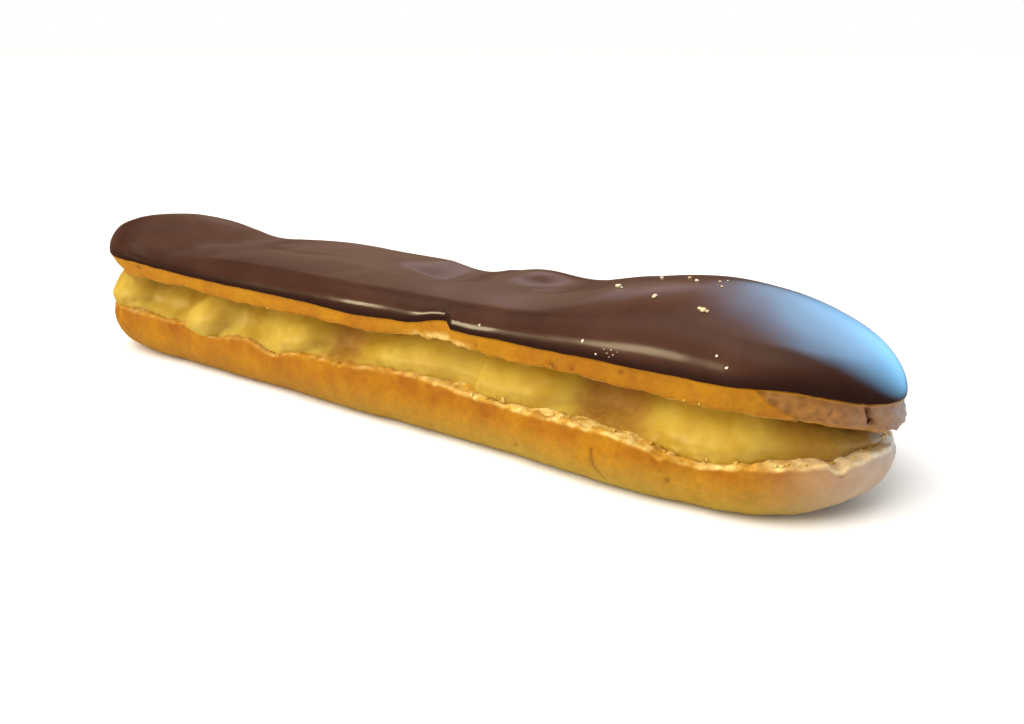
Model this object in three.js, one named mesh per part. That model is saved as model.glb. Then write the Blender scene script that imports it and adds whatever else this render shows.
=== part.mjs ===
// Chocolate-iced choux finger, split along its side and filled with piped custard.
// It lies along X on its flat base, near end at +X, shown side at -Y, in millimetres.
import * as THREE from "three";
import { ParametricGeometry } from "three/addons/geometries/ParametricGeometry.js";
import { mergeVertices } from "three/addons/utils/BufferGeometryUtils.js";

const { smoothstep } = THREE.MathUtils;

// Overall size
const LENGTH = 171.6;
const HALF_WIDTH = 18.4;
const ICING_OVERHANG = 0.5;
const LID_HALF_WIDTH = 17.5;
const BASE_HALF_WIDTH = 17.8;

// Heights above the base
const BULGE_HEIGHT = 5.2;
const BULGE_RISE = 0.6;
const TROUGH_HEIGHT = 5.5;
const RIM_HEIGHT = 9.8;
const LID_EDGE_HEIGHT = 17.2;
const VAULT_HEIGHT = 18.6;
const ICING_EDGE_HEIGHT = 20.6;
const RIDGE_HEIGHT = 25.3;

// Thicknesses, insets from the side and clearances
const ICING_THICKNESS = 2.2;
const ICING_RIM_HEIGHT = 1.4;
const CUT_EDGE_ROUND = 1.0;
const RIM_WIDTH = 3.0;
const RIM_RISE = 0.2;
const BASE_CORNER = 5.0;
const TROUGH_INSET = 10.0;
const VAULT_INSET = 8.5;
const CUSTARD_INSET = 6.5;
const CUSTARD_ROUND_ABOVE = 1.7;
const CUSTARD_ROUND_BELOW = 0.5;
const CUSTARD_LEAN = 3.4;
const FOOT_INSET = 3.4;
const LEFT_FOOT_INSET = 1.5;
const LID_SHOULDER = 0.5;
const CLEARANCE = 0.35;

// Fullness of the domed top across its width
const DOME_POWER = 2.1;
const DOME_FALL = 0.5;

// Steps along each long side and round each end
const SIDE_STEPS = 38;
const END_STEPS = 14;

// Swells along the outline: place, height and half length.
// Place runs in both directions from the middle of the front, and the tips are at plus and minus TIP.
const SPINE = LENGTH / 2 - HALF_WIDTH;
const TIP = SPINE + (HALF_WIDTH * Math.PI) / 2;
const HALF_ROUND = 2 * TIP;
const ICING_EDGE_SWELLS = [
  [-77, 1.2, 20],
  [-TIP - 2, -1.9, 13],
  [-3, -0.4, 8],
  [14, 1.0, 4],
  [77, 0.8, 7],
  [TIP + 5, -3.2, 18],
];
const LID_EDGE_SWELLS = [[-57, 0.5, 14], [15, 1.0, 7], [63, -0.7, 16], [TIP + 3, -4.8, 15]];
const RIM_SWELLS = [[-45, -1.1, 6], [-26, -1.4, 5], [11, 1.0, 13], [64, -1.6, 9], [-74, 0.6, 9]];
const LID_SWELLS = [[-82, 0.4, 12], [-58, -0.5, 14], [-4, 0.4, 12], [17, -0.4, 9], [TIP, 2.4, 14]];
const BAND_SWELLS = [[TIP, 1.2, 15]];
const TUCK_SWELLS = [[-86, 2.9, 16]];
const CORNER_SWELLS = [[-80, 4, 15], [-TIP - 12, 3.5, 15], [TIP, 5.5, 20]];
const OVERHANG_SWELLS = [[-86, -0.15, 16]];
const BASE_SWELLS = [[50, 1.7, 16], [-48, -1.4, 27], [-83, 1.4, 11], [TIP, 1.9, 16]];
const END_FALL_SWELLS = [[TIP, 0.13, 18], [-TIP - 4, 0.2, 16]];
const BACK_EDGE_DROP = 1.0;

// Swells along the ridge of the icing: X, height and half length
const RIDGE_SWELLS = [
  [58, 5.5, 19],
  [83, 1.6, 9],
  [41, 0.5, 7],
  [-20, 0.3, 14],
  [-57, -1.9, 12],
  [-80, 5.7, 10],
];

// Dips that lie behind the front shoulder of the icing, and the Y range over which they set in
const BACK_DIPS = [[27, -1.0, 7], [2, -2.4, 8.5], [-30, -0.9, 38]];
const BACK_DIPS_FROM = -7;
const BACK_DIPS_FULL = 4;

// Piped custard swells that show at the front and the ends: place, bulge and half length
const FRONT_PIPING = [
  [-82, 8.0, 15],
  [-59, 2.8, 6],
  [-46, 7.4, 6.8],
  [-33, 2.8, 6],
  [-20.5, 6.2, 8.2],
  [9, 5.6, 14.5],
  [33, 5.6, 10],
  [66, 6.3, 13.5],
  [84, 2.4, 6],
  [TIP + 6, 4.8, 14],
];
const BACK_PIPING_COUNT = 7;
const BACK_PIPING_BULGE = 5.2;
const PIPING_POWER = 3;

// Mound in the icing behind the ridge: X, Y, height and radius
const BACK_MOUND = [21, 10, 1.7, 7];

// Distance between two places round the outline
function apart(place, centre) {
  const gap = Math.abs(place - centre);
  return Math.min(gap, 2 * HALF_ROUND - gap);
}

// Sum of rounded swells at one place
function swell(place, swells, power = 2) {
  let total = 0;
  for (const [centre, height, reach] of swells) {
    total += height * Math.exp(-((apart(place, centre) / reach) ** power));
  }
  return total;
}

// How far a place is on the back, from 0 at the tips to 1
function backShare(place) {
  return smoothstep(Math.abs(place), TIP, TIP + 2 * HALF_WIDTH);
}

// Gentle unevenness of the back, fading out towards the front
function backWave(place, turns, phase) {
  return backShare(place) * Math.sin((turns * Math.PI * place) / HALF_ROUND + phase);
}

// Custard swells of the back, spread evenly with a small seeded shift
function backPiping() {
  const swells = [];
  const pitch = (2 * SPINE) / BACK_PIPING_COUNT;
  for (let k = 0; k < BACK_PIPING_COUNT; k += 1) {
    const shift = 0.2 * pitch * Math.sin(2.4 * k + 1);
    const x = -SPINE + (k + 0.5) * pitch + shift;
    const place = x > 0 ? HALF_ROUND - x : -HALF_ROUND - x;
    swells.push([place, BACK_PIPING_BULGE + 0.8 * Math.cos(1.7 * k), 0.44 * pitch]);
  }
  return swells;
}
const PIPING = [...FRONT_PIPING, ...backPiping()];

// Places round the outline: a point of the spine, the direction outwards and the distance walked
function outlineStations() {
  const stations = [];
  for (let i = 0; i < SIDE_STEPS; i += 1) {
    const x = -SPINE + (2 * SPINE * i) / SIDE_STEPS;
    stations.push({ x, out: [0, -1], place: x });
  }
  for (let i = 0; i < END_STEPS; i += 1) {
    const turn = (Math.PI * i) / END_STEPS;
    stations.push({ x: SPINE, out: [Math.sin(turn), -Math.cos(turn)], place: SPINE + HALF_WIDTH * turn });
  }
  for (let i = 0; i < SIDE_STEPS; i += 1) {
    const x = SPINE - (2 * SPINE * i) / SIDE_STEPS;
    stations.push({ x, out: [0, 1], place: x > 0 ? HALF_ROUND - x : -HALF_ROUND - x });
  }
  for (let i = 0; i < END_STEPS; i += 1) {
    const turn = (Math.PI * i) / END_STEPS;
    const place = -(SPINE + HALF_WIDTH * (Math.PI - turn));
    stations.push({ x: -SPINE, out: [-Math.sin(turn), Math.cos(turn)], place });
  }
  return stations;
}

// How far in from the side the custard runs out, least along the left of the front
function footInset(place) {
  const left = smoothstep(place, -TIP - 14, -TIP) * (1 - smoothstep(place, 0, 14));
  return FOOT_INSET + (LEFT_FOOT_INSET - FOOT_INSET) * left;
}

// Levels and half widths of the layers at one station
function layersAt({ place }) {
  const backDrop = BACK_EDGE_DROP * backShare(place);
  return {
    rim: RIM_HEIGHT + swell(place, RIM_SWELLS) + 0.5 * backWave(place, 17, 0.4),
    lidEdge: LID_EDGE_HEIGHT + swell(place, LID_EDGE_SWELLS) + 0.4 * backWave(place, 13, 2) - backDrop,
    icingEdge: ICING_EDGE_HEIGHT + swell(place, ICING_EDGE_SWELLS) + 0.4 * backWave(place, 11, 5) - backDrop,
    lid: LID_HALF_WIDTH + swell(place, LID_SWELLS),
    band: swell(place, BAND_SWELLS),
    tuck: swell(place, TUCK_SWELLS),
    overhang: ICING_OVERHANG + swell(place, OVERHANG_SWELLS),
    base: BASE_HALF_WIDTH + swell(place, BASE_SWELLS),
    piping: swell(place, PIPING, PIPING_POWER),
    foot: footInset(place),
    corner: BASE_CORNER + swell(place, CORNER_SWELLS),
    bulge: BULGE_HEIGHT + BULGE_RISE * swell(place, CORNER_SWELLS),
  };
}

// Height of the icing's top over one point of the plan, before the fall towards its edge
function ridgeAt(x, y) {
  let height = RIDGE_HEIGHT;
  for (const [centre, rise, reach] of RIDGE_SWELLS) {
    height += rise * Math.exp(-(((x - centre) / reach) ** 2));
  }
  const behind = smoothstep(y, BACK_DIPS_FROM, BACK_DIPS_FULL);
  for (const [centre, rise, reach] of BACK_DIPS) {
    height += behind * rise * Math.exp(-(((x - centre) / reach) ** 2));
  }
  const [moundX, moundY, moundRise, moundReach] = BACK_MOUND;
  const away = Math.hypot(x - moundX, y - moundY) / moundReach;
  return height + moundRise * Math.exp(-away * away);
}

// Points of a dome from its edge to the spine, as [distance out, height]
const DOME_STEPS = [0.97, 0.9, 0.78, 0.6, 0.4, 0.2, 0];
function dome(station, reach, edge, drop) {
  const fall = DOME_FALL + swell(station.place, END_FALL_SWELLS);
  return DOME_STEPS.map((share) => {
    const out = share * reach;
    const top = ridgeAt(station.x + out * station.out[0], out * station.out[1]) - drop;
    return [out, edge + (top - edge) * (1 - share ** DOME_POWER) ** fall];
  });
}

// Closed solid from a profile that runs from the spine below to the spine above
function solid(profile) {
  const stations = outlineStations();
  const rows = stations.map((station) => profile(station, layersAt(station)));
  const steps = rows[0].length - 1;
  const surface = new ParametricGeometry((u, v, target) => {
    const index = Math.round(u * stations.length) % stations.length;
    const { x, out } = stations[index];
    const [reach, height] = rows[index][Math.round(v * steps)];
    target.set(x + reach * out[0], reach * out[1], height);
  }, stations.length, steps);
  surface.deleteAttribute("normal");
  surface.deleteAttribute("uv");
  const merged = mergeVertices(surface, 1e-3);
  merged.setIndex(withoutSlivers(merged.getIndex().array));
  return merged;
}

// Triangles that keep three different corners
function withoutSlivers(corners) {
  const kept = [];
  for (let i = 0; i < corners.length; i += 3) {
    const [a, b, c] = corners.slice(i, i + 3);
    if (a !== b && b !== c && c !== a) {
      kept.push(a, b, c);
    }
  }
  return kept;
}

// Quarter oval that leaves its start level and arrives at its end upright
function quarterOval([startOut, startHeight], [endOut, endHeight], steps) {
  const points = [];
  for (let i = 0; i <= steps; i += 1) {
    const turn = (Math.PI * i) / (2 * steps);
    const out = startOut + (endOut - startOut) * Math.sin(turn);
    points.push([out, startHeight + (endHeight - startHeight) * (1 - Math.cos(turn))]);
  }
  return points;
}

// Face of the custard between two heights: it leans back above and runs out in a foot below
function pipedFace(out, foot, low, high, steps) {
  const points = [];
  for (let i = 0; i <= steps; i += 1) {
    const turn = Math.PI * (i / steps - 0.5);
    const rise = Math.sin(turn);
    const round = turn > 0 ? CUSTARD_ROUND_ABOVE : CUSTARD_ROUND_BELOW;
    const reach = out - round * (1 - Math.cos(turn)) - CUSTARD_LEAN * smoothstep(rise, -0.5, 1);
    const short = Math.max(0, foot - reach);
    const spread = short * (1 - smoothstep(rise, -1, -0.25)) ** 2;
    points.push([reach + spread, (low + high) / 2 + ((high - low) / 2) * rise]);
  }
  return points;
}

// Wall of the trough in the lower half, moved inwards and up by a gap
function troughWall(base, rim, gap) {
  const bottom = [base - TROUGH_INSET - gap, TROUGH_HEIGHT + gap];
  const top = [base - CUT_EDGE_ROUND - RIM_WIDTH - gap, rim + RIM_RISE + gap];
  return quarterOval(bottom, top, 3);
}

// Lower half of the choux: flat base, bulging crust, torn cut rim and a shallow trough
function bottomShellProfile(station, { base, rim, corner, bulge }) {
  return [
    [0, 0],
    ...quarterOval([base - corner, 0], [base, bulge], 5),
    [base - 0.3 * CUT_EDGE_ROUND, rim - 0.5 * CUT_EDGE_ROUND],
    [base - CUT_EDGE_ROUND, rim],
    ...troughWall(base, rim, 0).reverse(),
    [0, TROUGH_HEIGHT],
  ];
}

// Custard: fills the trough and the vault, and swells out between the two halves
function custardProfile(station, { base, lid, tuck, rim, lidEdge, piping, foot }) {
  const face = Math.min(base, lid) - CUSTARD_INSET + piping;
  const low = rim + RIM_RISE + 1.2 * CLEARANCE;
  const high = lidEdge - 1.5 * CLEARANCE;
  const vaultEdge = lid - VAULT_INSET - 1.5 * CLEARANCE;
  const lidCut = lid - tuck - CUT_EDGE_ROUND - RIM_WIDTH - 1.5 * CLEARANCE;
  const front = pipedFace(face, base - foot, low, high, 6);
  const [topReach] = front[front.length - 1];
  return [
    [0, TROUGH_HEIGHT + CLEARANCE],
    ...troughWall(base, rim, CLEARANCE),
    ...front,
    [Math.min(topReach - CLEARANCE, lidCut), high],
    [vaultEdge, VAULT_HEIGHT - CLEARANCE],
    [0, VAULT_HEIGHT - CLEARANCE],
  ];
}

// Upper half of the choux: vault over the custard, crust band at the side, dome under the icing
function topShellProfile(station, { lid, band, tuck, lidEdge, icingEdge }) {
  const shoulder = icingEdge + LID_SHOULDER;
  const bandFoot = lid - tuck;
  return [
    [0, VAULT_HEIGHT],
    [lid - VAULT_INSET, VAULT_HEIGHT],
    [bandFoot - CUT_EDGE_ROUND - RIM_WIDTH, lidEdge],
    [bandFoot - CUT_EDGE_ROUND + band, lidEdge],
    [bandFoot - 0.3 * CUT_EDGE_ROUND + band, lidEdge + 0.6 * CUT_EDGE_ROUND],
    [lid - 0.5 * tuck + band, (lidEdge + icingEdge) / 2],
    [lid - 0.2 * LID_SHOULDER + 0.25 * band, icingEdge - 0.6],
    [lid - LID_SHOULDER, shoulder],
    ...dome(station, lid - LID_SHOULDER, shoulder, ICING_THICKNESS),
  ];
}

// Icing: a skin over the dome with a rounded rim
function icingProfile(station, { lid, icingEdge, overhang }) {
  const outer = lid + overhang;
  const gap = CLEARANCE - LID_SHOULDER;
  const skin = ICING_THICKNESS - CLEARANCE;
  const under = dome(station, lid + gap, icingEdge + LID_SHOULDER + CLEARANCE, skin);
  return [
    ...under.reverse(),
    [lid + 0.1, icingEdge + 0.25],
    [(lid + outer) / 2 + 0.1, icingEdge - 0.1],
    [outer, icingEdge + 0.35 * ICING_RIM_HEIGHT],
    [outer, icingEdge + ICING_RIM_HEIGHT],
    ...dome(station, outer, icingEdge + ICING_RIM_HEIGHT, 0),
  ];
}

// Named sub-part with its own colour
function subPart(name, profile, color, roughness) {
  const material = new THREE.MeshStandardMaterial({ color, roughness, metalness: 0 });
  const mesh = new THREE.Mesh(solid(profile), material);
  mesh.name = name;
  return mesh;
}

const filledBun = new THREE.Group();
filledBun.add(subPart("bottom_shell", bottomShellProfile, 0xc88a34, 0.75));
filledBun.add(subPart("custard_filling", custardProfile, 0xddbd58, 0.4));
filledBun.add(subPart("top_shell", topShellProfile, 0xc88220, 0.75));
filledBun.add(subPart("chocolate_icing", icingProfile, 0x4e3022, 0.3));

// The origin is at the middle of the base
const middle = new THREE.Box3().setFromObject(filledBun).getCenter(new THREE.Vector3());
filledBun.position.set(-middle.x, -middle.y, 0);

export default filledBun;
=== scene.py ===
import bpy
import bmesh
import math
import numpy as np
from mathutils import Vector, Matrix, noise
from mathutils.bvhtree import BVHTree


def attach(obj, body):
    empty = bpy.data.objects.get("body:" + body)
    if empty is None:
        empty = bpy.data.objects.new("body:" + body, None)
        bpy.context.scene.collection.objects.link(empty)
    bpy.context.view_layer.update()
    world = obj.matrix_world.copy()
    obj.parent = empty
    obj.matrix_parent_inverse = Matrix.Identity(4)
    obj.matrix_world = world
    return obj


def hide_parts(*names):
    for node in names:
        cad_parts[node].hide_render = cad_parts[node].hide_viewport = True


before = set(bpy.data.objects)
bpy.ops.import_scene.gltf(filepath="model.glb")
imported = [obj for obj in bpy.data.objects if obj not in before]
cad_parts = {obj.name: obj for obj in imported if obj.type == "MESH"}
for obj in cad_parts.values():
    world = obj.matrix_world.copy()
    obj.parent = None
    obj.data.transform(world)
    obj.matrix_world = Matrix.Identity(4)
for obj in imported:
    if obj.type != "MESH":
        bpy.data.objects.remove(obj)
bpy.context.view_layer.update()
mm = 0.001

# plan of the bun and heights of its layers, in millimetres
bun = {
    "length": 171.6,
    "halfWidth": 18.4,
    "lidHalfWidth": 17.5,
    "baseHalfWidth": 17.8,
    "middle": (1.516, -0.343),  # middle of the bun's box, in the plan's own coordinates
    "trough": 5.5,
    "vault": 18.6,
    "rim": 9.8,
    "lidEdge": 17.2,
    "icingEdge": 20.6,
    "ridge": 25.3,
    "overhang": 0.45,  # how far the icing stands out past the lid
    "corner": 5.0,  # rounding of the base
    "bulge": (5.2, 0.6),  # height where the lower half is widest, share of the corner's swell
    # where the icing's front edge starts to rise, is up, starts and ends its step down, and how far it rises
    "notch": (9.0, 18.2, 18.7, 19.3, 1.4),
    # height, turns and phase of the slow waves along the back
    "backWaves": {"rim": (0.5, 17, 0.4), "lidEdge": (0.4, 13, 2), "icingEdge": (0.4, 11, 5)},
    "step": 0.4,  # spacing of the mesh along the outline
}
bun["spine"] = bun["length"] / 2 - bun["halfWidth"]
bun["tip"] = bun["spine"] + bun["halfWidth"] * math.pi / 2
tip = bun["tip"]

# swells along the outline: place from the middle of the front, height, half length
swells = {
    "icingEdge": [(-77, 1.2, 20), (-tip - 2, -1.9, 13), (-3, -0.4, 8), (77, 0.8, 7), (tip + 5, -3.2, 18)],
    "lidEdge": [(-57, 0.5, 14), (15, 1.0, 7), (63, -0.7, 16), (tip + 3, -4.8, 15)],
    "rim": [(-45, -1.1, 6), (-26, -1.4, 5), (11, 1.0, 13), (64, -1.6, 9), (-74, 0.6, 9)],
    "lid": [(-82, 0.4, 12), (-58, -0.5, 14), (-4, 0.4, 12), (17, -0.4, 9), (tip, 2.4, 14)],
    "band": [(tip, 1.2, 15)],
    "tuck": [(-86, 2.9, 16)],  # how far the band tucks in under the icing at the far end
    "corner": [(-80, 4, 15), (-tip - 12, 3.5, 15), (tip, 5.5, 20)],
    "overhang": [(-86, -0.25, 16)],
    "base": [(50, 1.7, 16), (-48, -1.4, 27), (-83, 1.4, 11), (tip, 1.9, 16)],
    "nearEnd": [(tip, 1.0, 18)],
    "farEnd": [(-tip - 4, 1.0, 16)],
}


def easeStep(value, low, high):
    t = np.clip((value - low) / (high - low), 0, 1)
    return t * t * (3 - 2 * t)


def swellAt(place, parts, power=2):
    # sum of smooth swells, with each gap taken the short way round the outline
    total = np.zeros_like(place)
    for centre, height, reach in parts:
        gap = np.abs(place - centre)
        gap = np.minimum(gap, 4 * tip - gap)
        total += height * np.exp(-(gap / reach) ** power)
    return total


def fractal(points, size, octaves, seed):
    # smooth noise from -1 to 1 over an array of points, size in millimetres
    shift = Vector((seed * 13.7, seed * 7.1, seed * 3.3))
    flat = points.reshape(-1, 3) / size
    values = [noise.fractal(Vector(p) + shift, 1.0, 2.0, octaves) for p in flat.tolist()]
    return np.array(values).reshape(points.shape[:-1])


def walkOutline(step):
    # stations round the outline: spine x, direction out, place walked from the middle of the front
    spine, half = bun["spine"], bun["halfWidth"]
    sideCount = round(2 * spine / step)
    endCount = round(math.pi * half / step)
    along = -spine + 2 * spine * np.arange(sideCount) / sideCount
    turn = math.pi * np.arange(endCount) / endCount
    still = np.zeros(sideCount)
    back = -along
    backPlace = np.where(back > 0, 2 * tip - back, -2 * tip - back)
    return {
        "x": np.concatenate([along, np.full(endCount, spine), back, np.full(endCount, -spine)]),
        "outX": np.concatenate([still, np.sin(turn), still, -np.sin(turn)]),
        "outY": np.concatenate([still - 1, -np.cos(turn), still + 1, np.cos(turn)]),
        "place": np.concatenate([along, spine + half * turn, backPlace, half * (turn - math.pi) - spine]),
    }


def outlinePoints(walk, reach):
    # the outline at one distance out, used to drive noise that closes on itself
    x = walk["x"] + reach * walk["outX"]
    y = reach * walk["outY"]
    return np.stack([x, y, np.zeros_like(x)], -1)


def layersAt(walk):
    place = walk["place"]
    backShare = easeStep(np.abs(place), tip, tip + 2 * bun["halfWidth"])
    corner = swellAt(place, swells["corner"])
    bulge, bulgeShare = bun["bulge"]
    start, up, hold, down, rise = bun["notch"]
    notch = rise * easeStep(place, start, up) * (1 - easeStep(place, hold, down))

    def level(key):
        height, turns, phase = bun["backWaves"][key]
        wave = backShare * np.sin(turns * math.pi * place / (2 * tip) + phase)
        return bun[key] + swellAt(place, swells[key]) + height * wave

    return {
        "rim": level("rim"),
        "lidEdge": level("lidEdge") - backShare,  # the back sits a millimetre lower
        "icingEdge": level("icingEdge") - backShare + notch,
        "notch": notch,
        "backShare": backShare,
        "lid": bun["lidHalfWidth"] + swellAt(place, swells["lid"]),
        "band": swellAt(place, swells["band"]),
        "overhang": bun["overhang"] + swellAt(place, swells["overhang"]),
        "tuck": swellAt(place, swells["tuck"]),
        "base": bun["baseHalfWidth"] + swellAt(place, swells["base"]),
        "corner": bun["corner"] + corner,
        "bulge": bulge + bulgeShare * corner,
    }


class Profile:
    # grows a cross section outwards from the spine, one column of points for each step
    def __init__(self, count):
        self.reach = []
        self.height = []
        self.tags = []
        self.count = count

    def point(self, reach, height, tag):
        self.reach.append(np.broadcast_to(reach, self.count).astype(float))
        self.height.append(np.broadcast_to(height, self.count).astype(float))
        self.tags.append(tag)

    def between(self, start, end, along, up, tag):
        # a point part of the way from start to end, with its shares of the reach and the height
        self.point(start[0] + (end[0] - start[0]) * along, start[1] + (end[1] - start[1]) * up, tag)

    def line(self, start, end, steps, tag):
        for k in range(steps):
            self.between(start, end, k / steps, k / steps, tag)

    def oval(self, start, end, steps, tag):
        # quarter oval that leaves level and arrives upright
        for k in range(steps):
            t = math.pi * k / (2 * steps)
            self.between(start, end, math.sin(t), 1 - math.cos(t), tag)

    def inwardOval(self, start, end, steps, tag):
        # quarter oval that leaves upright and arrives level
        for k in range(steps):
            t = math.pi * k / (2 * steps)
            self.between(start, end, 1 - math.cos(t), math.sin(t), tag)

    def arrays(self):
        return np.stack(self.reach, 1), np.stack(self.height, 1), np.array(self.tags)


def surfacePoints(walk, reach, height):
    x = walk["x"][:, None] + reach * walk["outX"][:, None]
    y = reach * walk["outY"][:, None]
    return np.stack([x, y, height], -1)


def surfaceNormals(points):
    around = np.roll(points, -1, 0) - np.roll(points, 1, 0)
    up = np.gradient(points, axis=1)
    normal = np.cross(around, up)
    size = np.linalg.norm(normal, axis=-1, keepdims=True)
    return normal / np.maximum(size, 1e-9)


def meshFromGrid(name, points, masks):
    # closed mesh from a grid that wraps round the outline, welded along the spine
    count, steps = points.shape[:2]
    shift = np.array([bun["middle"][0], bun["middle"][1], 0])
    verts = (points.reshape(-1, 3) - shift) * mm
    index = np.arange(count * steps).reshape(count, steps)
    nextRow = np.roll(index, -1, 0)
    faces = np.stack([index[:, :-1], nextRow[:, :-1], nextRow[:, 1:], index[:, 1:]], -1).reshape(-1, 4)
    mesh = bpy.data.meshes.new(name)
    mesh.from_pydata(verts.tolist(), [], faces.tolist())
    for key, values in masks.items():
        layer = mesh.attributes.new(key, "FLOAT", "POINT")
        layer.data.foreach_set("value", np.ascontiguousarray(values.reshape(-1), dtype=np.float32))
    mergeGap, flatGap = 2e-6, 1e-7
    weld = bmesh.new()
    weld.from_mesh(mesh)
    bmesh.ops.remove_doubles(weld, verts=weld.verts, dist=mergeGap)
    bmesh.ops.dissolve_degenerate(weld, dist=flatGap, edges=weld.edges)
    weld.to_mesh(mesh)
    weld.free()
    mesh.polygons.foreach_set("use_smooth", np.ones(len(mesh.polygons), dtype=bool))
    piece = bpy.data.objects.new(name, mesh)
    bpy.context.scene.collection.objects.link(piece)
    return piece


walk = walkOutline(bun["step"])
place = walk["place"]
layers = layersAt(walk)
edgePoints = outlinePoints(walk, bun["halfWidth"])
print("outline walked:", len(place), "stations")


# shader helpers
def newMaterial(name):
    material = bpy.data.materials.new(name)
    material.use_nodes = True
    material.node_tree.nodes.clear()
    return material, material.node_tree


def addNode(tree, kind, inputs=None, **settings):
    node = tree.nodes.new(kind)
    for key, value in settings.items():
        setattr(node, key, value)
    for key, value in (inputs or {}).items():
        if isinstance(value, bpy.types.NodeSocket):
            tree.links.new(value, node.inputs[key])
        else:
            node.inputs[key].default_value = value
    return node


def mixColour(tree, factor, first, second, blend="MIX"):
    node = addNode(tree, "ShaderNodeMix", data_type="RGBA", blend_type=blend)
    for slotIndex, value in ((0, factor), (6, first), (7, second)):
        if isinstance(value, bpy.types.NodeSocket):
            tree.links.new(value, node.inputs[slotIndex])
        else:
            node.inputs[slotIndex].default_value = value
    return node.outputs[2]


def mathNode(tree, operation, first, second=0.0, third=0.0, clamp=False):
    node = addNode(tree, "ShaderNodeMath", operation=operation, use_clamp=clamp)
    for k, value in enumerate((first, second, third)):
        if isinstance(value, bpy.types.NodeSocket):
            tree.links.new(value, node.inputs[k])
        else:
            node.inputs[k].default_value = value
    return node.outputs[0]


def spread(tree, value, low, high, toLow=0.0, toHigh=1.0):
    # maps low to high onto another range
    node = addNode(tree, "ShaderNodeMapRange",
                   {"Value": value, "From Min": low, "From Max": high, "To Min": toLow, "To Max": toHigh})
    return node.outputs["Result"]


def maskOf(tree, key):
    return addNode(tree, "ShaderNodeAttribute", attribute_name=key).outputs["Fac"]


def srgb(red, green, blue):
    # a colour given as it looks on screen
    values = []
    for part in (red, green, blue):
        c = part / 255
        values.append(c / 12.92 if c <= 0.04045 else ((c + 0.055) / 1.055) ** 2.4)
    return (*values, 1.0)


# crumb and bake grain shared by the materials
grainLook = {
    "patchSize": 120.0,
    "grainSize": 900.0,
    "poreSize": 500.0,
    "streakDraw": (1.0, 1.0, 0.22),  # streaks run up and down
    "streakFiner": 3.2,  # how much finer streaks are than patches
    "pore": (0.08, 0.3),  # a pore's middle and edge
    "poresFrom": 0.52,  # only patches above this have pores
    "poreDepth": -0.6,
    # noise values over which a mix runs from all of one to all of the other
    "patchSpan": (0.35, 0.65),
    "grainSpan": (0.3, 0.7),
}


def makeGrainGroup(look):
    # patches, fine grain, pores, streaks and a height, all from object space
    group = bpy.data.node_groups.new("bakeGrain", "ShaderNodeTree")
    face = group.interface
    face.new_socket("Vector", in_out="INPUT", socket_type="NodeSocketVector")
    for name, key in (("Patch Size", "patchSize"), ("Grain Size", "grainSize"), ("Pore Size", "poreSize")):
        face.new_socket(name, in_out="INPUT", socket_type="NodeSocketFloat").default_value = look[key]
    for name in ("Patches", "Grain", "Pores", "Streaks", "Height"):
        face.new_socket(name, in_out="OUTPUT", socket_type="NodeSocketFloat")
    entry = group.nodes.new("NodeGroupInput")
    leave = group.nodes.new("NodeGroupOutput")
    vector = entry.outputs["Vector"]
    patches = addNode(group, "ShaderNodeTexNoise",
                      {"Vector": vector, "Scale": entry.outputs["Patch Size"],
                       "Detail": 4.0, "Roughness": 0.6, "Distortion": 0.4})
    grain = addNode(group, "ShaderNodeTexNoise",
                    {"Vector": vector, "Scale": entry.outputs["Grain Size"],
                     "Detail": 5.0, "Roughness": 0.65})
    cells = addNode(group, "ShaderNodeTexVoronoi",
                    {"Vector": vector, "Scale": entry.outputs["Pore Size"], "Randomness": 1.0},
                    feature="F1")
    pores = spread(group, cells.outputs["Distance"], *look["pore"], 1.0, 0.0)
    drawn = addNode(group, "ShaderNodeVectorMath", {0: vector, 1: look["streakDraw"]}, operation="MULTIPLY")
    streakScale = mathNode(group, "MULTIPLY", entry.outputs["Patch Size"], look["streakFiner"])
    streaks = addNode(group, "ShaderNodeTexNoise",
                      {"Vector": drawn.outputs["Vector"], "Scale": streakScale,
                       "Detail": 3.0, "Roughness": 0.55})
    pick = mathNode(group, "GREATER_THAN", patches.outputs["Fac"], look["poresFrom"])
    shown = mathNode(group, "MULTIPLY", pores, pick)
    height = mathNode(group, "MULTIPLY_ADD", shown, look["poreDepth"], grain.outputs["Fac"])
    group.links.new(patches.outputs["Fac"], leave.inputs["Patches"])
    group.links.new(grain.outputs["Fac"], leave.inputs["Grain"])
    group.links.new(streaks.outputs["Fac"], leave.inputs["Streaks"])
    group.links.new(shown, leave.inputs["Pores"])
    group.links.new(height, leave.inputs["Height"])
    return group


grainGroup = makeGrainGroup(grainLook)
patchSpan = grainLook["patchSpan"]
grainSpan = grainLook["grainSpan"]


def placeGrain(tree, patchSize, grainSize, poreSize):
    coords = addNode(tree, "ShaderNodeTexCoord")
    node = addNode(tree, "ShaderNodeGroup", node_tree=grainGroup)
    tree.links.new(coords.outputs["Object"], node.inputs["Vector"])
    node.inputs["Patch Size"].default_value = patchSize
    node.inputs["Grain Size"].default_value = grainSize
    node.inputs["Pore Size"].default_value = poreSize
    return node, coords


def unevenShine(tree, look, value, span):
    # roughness that goes a little below and above its setting
    smoother, rougher = look["roughSpread"]
    return spread(tree, value, *span, look["roughness"] - smoother, look["roughness"] + rougher)


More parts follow.
